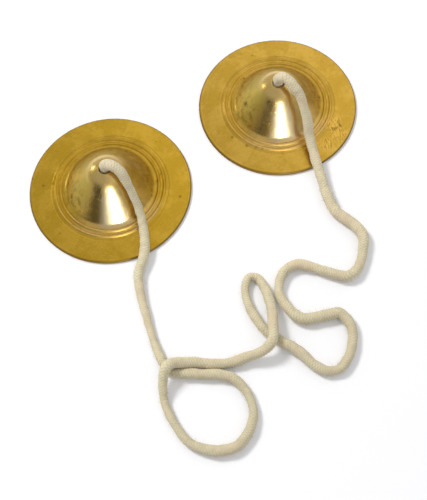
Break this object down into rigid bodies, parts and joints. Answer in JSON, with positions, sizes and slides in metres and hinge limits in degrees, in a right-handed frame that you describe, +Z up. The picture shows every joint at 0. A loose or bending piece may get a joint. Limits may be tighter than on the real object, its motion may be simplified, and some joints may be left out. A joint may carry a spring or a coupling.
{
  "type": "pair of hand cymbals",
  "caption": "Pair of small brass manjira cymbals with domed centres, lying face down and tied together by a soft cotton cord knotted inside each bell.",
  "frame": {"origin": "on the floor, midway between the axes of the two cord holes, with both cymbals lying on their striking faces", "axes": "+X from the left cymbal's hole to the right one's, +Z up out of the domes, and the cord lies towards -Y"},
  "size_m": [0.136, 0.143, 0.0242],
  "materials": {
    "brass": "turned and worn satin, golden, with smudges and small dark pits",
    "cotton": "matt, soft, ivory, with fine ribs across the cord"
  },
  "bodies": {
    "cord": {"cord": "cotton"},
    "left_knot": {"left_knot": "cotton"},
    "left_cymbal": {"left_cymbal": "brass"},
    "right_knot": {"right_knot": "cotton"},
    "right_cymbal": {"right_cymbal": "brass"}
  },
  "joints": [
    {"name": "left_swing", "type": "hinge", "parent": "cord", "child": "left_knot", "pos_m": [-0.037, 0, 0.0195], "axis": [0.9367, 0.35, 0], "range_deg": [0, 90], "deforming": ["cord"]},
    {"name": "left_spin", "type": "hinge", "parent": "left_knot", "child": "left_cymbal", "pos_m": [-0.037, 0, 0.0165], "axis": [0, 0, 1], "continuous": true},
    {"name": "right_swing", "type": "hinge", "parent": "cord", "child": "right_knot", "pos_m": [0.037, 0, 0.0195], "axis": [0.9539, 0.3, 0], "range_deg": [0, 90], "deforming": ["cord"]},
    {"name": "right_spin", "type": "hinge", "parent": "right_knot", "child": "right_cymbal", "pos_m": [0.037, 0, 0.0165], "axis": [0, 0, 1], "continuous": true}
  ]
}
